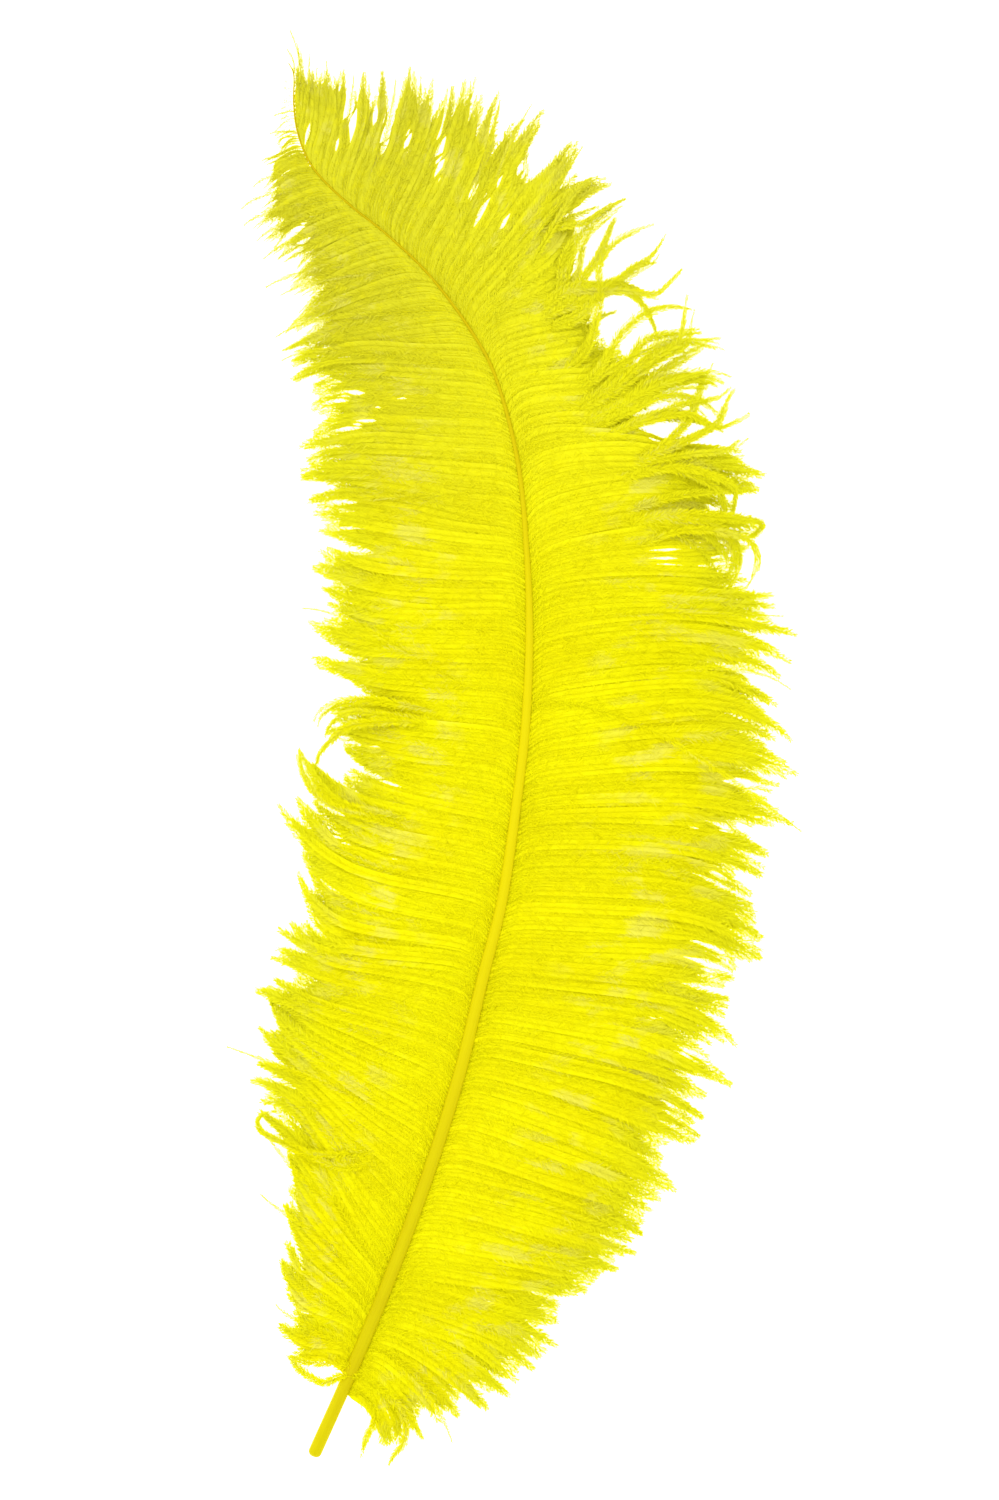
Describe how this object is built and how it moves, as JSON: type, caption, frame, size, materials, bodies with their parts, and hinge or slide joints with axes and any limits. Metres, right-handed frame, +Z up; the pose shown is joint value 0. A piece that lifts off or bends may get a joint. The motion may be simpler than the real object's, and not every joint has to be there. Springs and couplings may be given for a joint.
{
  "type": "ostrich plume",
  "caption": "Long dyed plume with a curved shaft, a bare quill end and two broad soft vanes whose loose barbs end in ragged points, lying flat",
  "frame": {"origin": "Middle of the feather's length and width, on the surface that it lies on", "axes": "+Y runs along the feather from the quill to the tip, +X points to the outer side of its curve, +Z is up, away from the surface"},
  "size_m": [0.162, 0.406, 0.0154],
  "materials": {
    "vane": "matte",
    "shaft": "satin"
  },
  "bodies": {
    "root": {"feather": "vane"}
  },
  "joints": []
}
